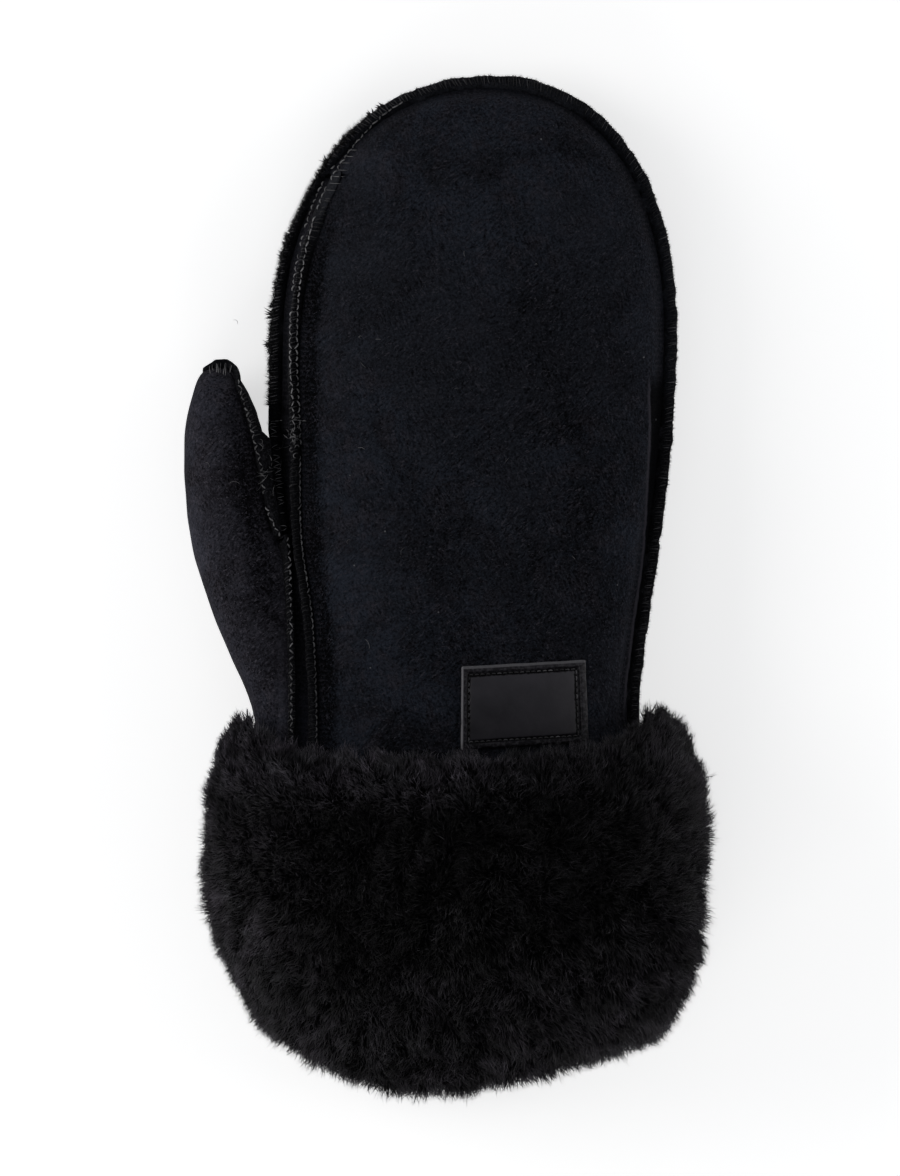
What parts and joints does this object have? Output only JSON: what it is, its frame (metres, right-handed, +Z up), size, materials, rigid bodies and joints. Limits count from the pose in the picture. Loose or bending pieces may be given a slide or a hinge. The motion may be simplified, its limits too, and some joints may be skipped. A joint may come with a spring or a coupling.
{
  "type": "mitten",
  "caption": "Dark suede sheepskin mitten with a turned-back black fur cuff, raised overcast seams and a bare leather label, lying palm down.",
  "frame": {"origin": "middle of the mitten's footprint, on the surface that it lies on", "axes": "+Y towards the fingertips, +Z up out of the back of the hand, and the thumb on the -X side"},
  "size_m": [0.1405, 0.2701, 0.0714],
  "materials": {
    "suede": "matt blue-black suede with a short mottled nap",
    "thumb_suede": "matt dark suede, a little greyer and more purple than the back",
    "seam_edge": "cut and overcast leather edge with black thread and wool fibres",
    "label_leather": "smooth semi-gloss dark leather, stitched in a pressed groove",
    "fur": "dense black wool pile in soft curly locks"
  },
  "bodies": {
    "root": {"back_panel": "suede", "palm_panel": "suede", "side_strip_upper": "suede", "side_strip_lower": "suede", "thumb": "thumb_suede", "edge_seam": "seam_edge", "inner_seam": "seam_edge", "thumb_base_seam": "seam_edge", "thumb_seam": "seam_edge", "label": "label_leather", "fur_cuff": "fur"}
  },
  "joints": []
}
